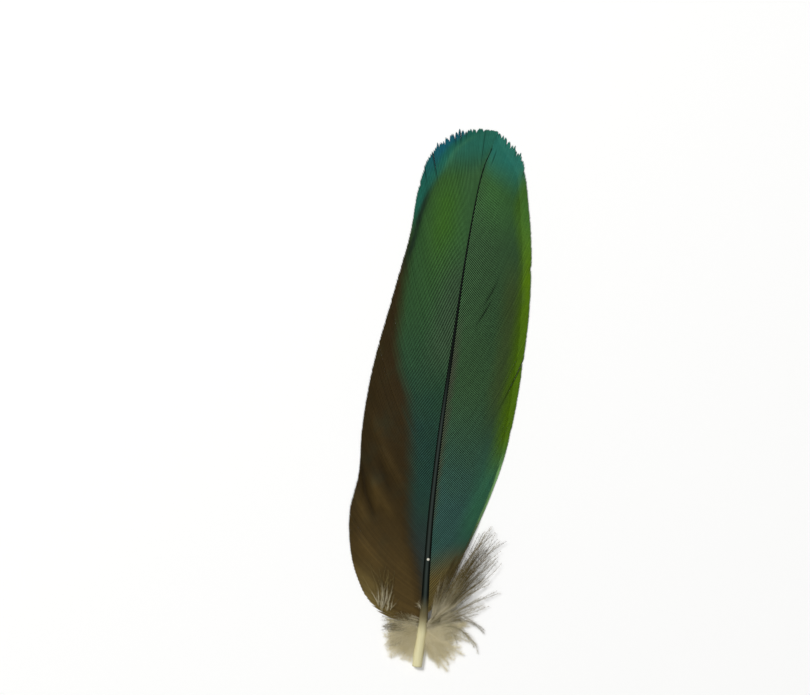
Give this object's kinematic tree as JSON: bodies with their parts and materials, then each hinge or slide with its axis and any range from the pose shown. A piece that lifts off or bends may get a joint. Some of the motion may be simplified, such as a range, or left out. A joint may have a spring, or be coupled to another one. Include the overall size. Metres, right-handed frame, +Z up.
{
  "type": "macaw feather",
  "caption": "Green and blue parrot wing feather lying flat: arched shaft with a bare quill, a brown-edged inner vane, a lime-edged outer vane and loose down at the base.",
  "frame": {"origin": "on the surface that the feather lies on, under the middle of its outer box", "axes": "+Y from the quill end to the tip, +X towards the outer vane, +Z up out of the coloured upper side"},
  "size_m": [0.0377, 0.125, 0.006],
  "materials": {
    "shaft": "satin horn, ivory at the quill and near black along the rachis",
    "vane": "silky barbs, green with blue, lime and brown edges",
    "down": "matt fluff, pale grey to grey brown"
  },
  "bodies": {
    "root": {"shaft": "shaft", "inner_vane": "vane", "outer_vane": "vane", "inner_down": "down", "outer_down": "down"}
  },
  "joints": []
}
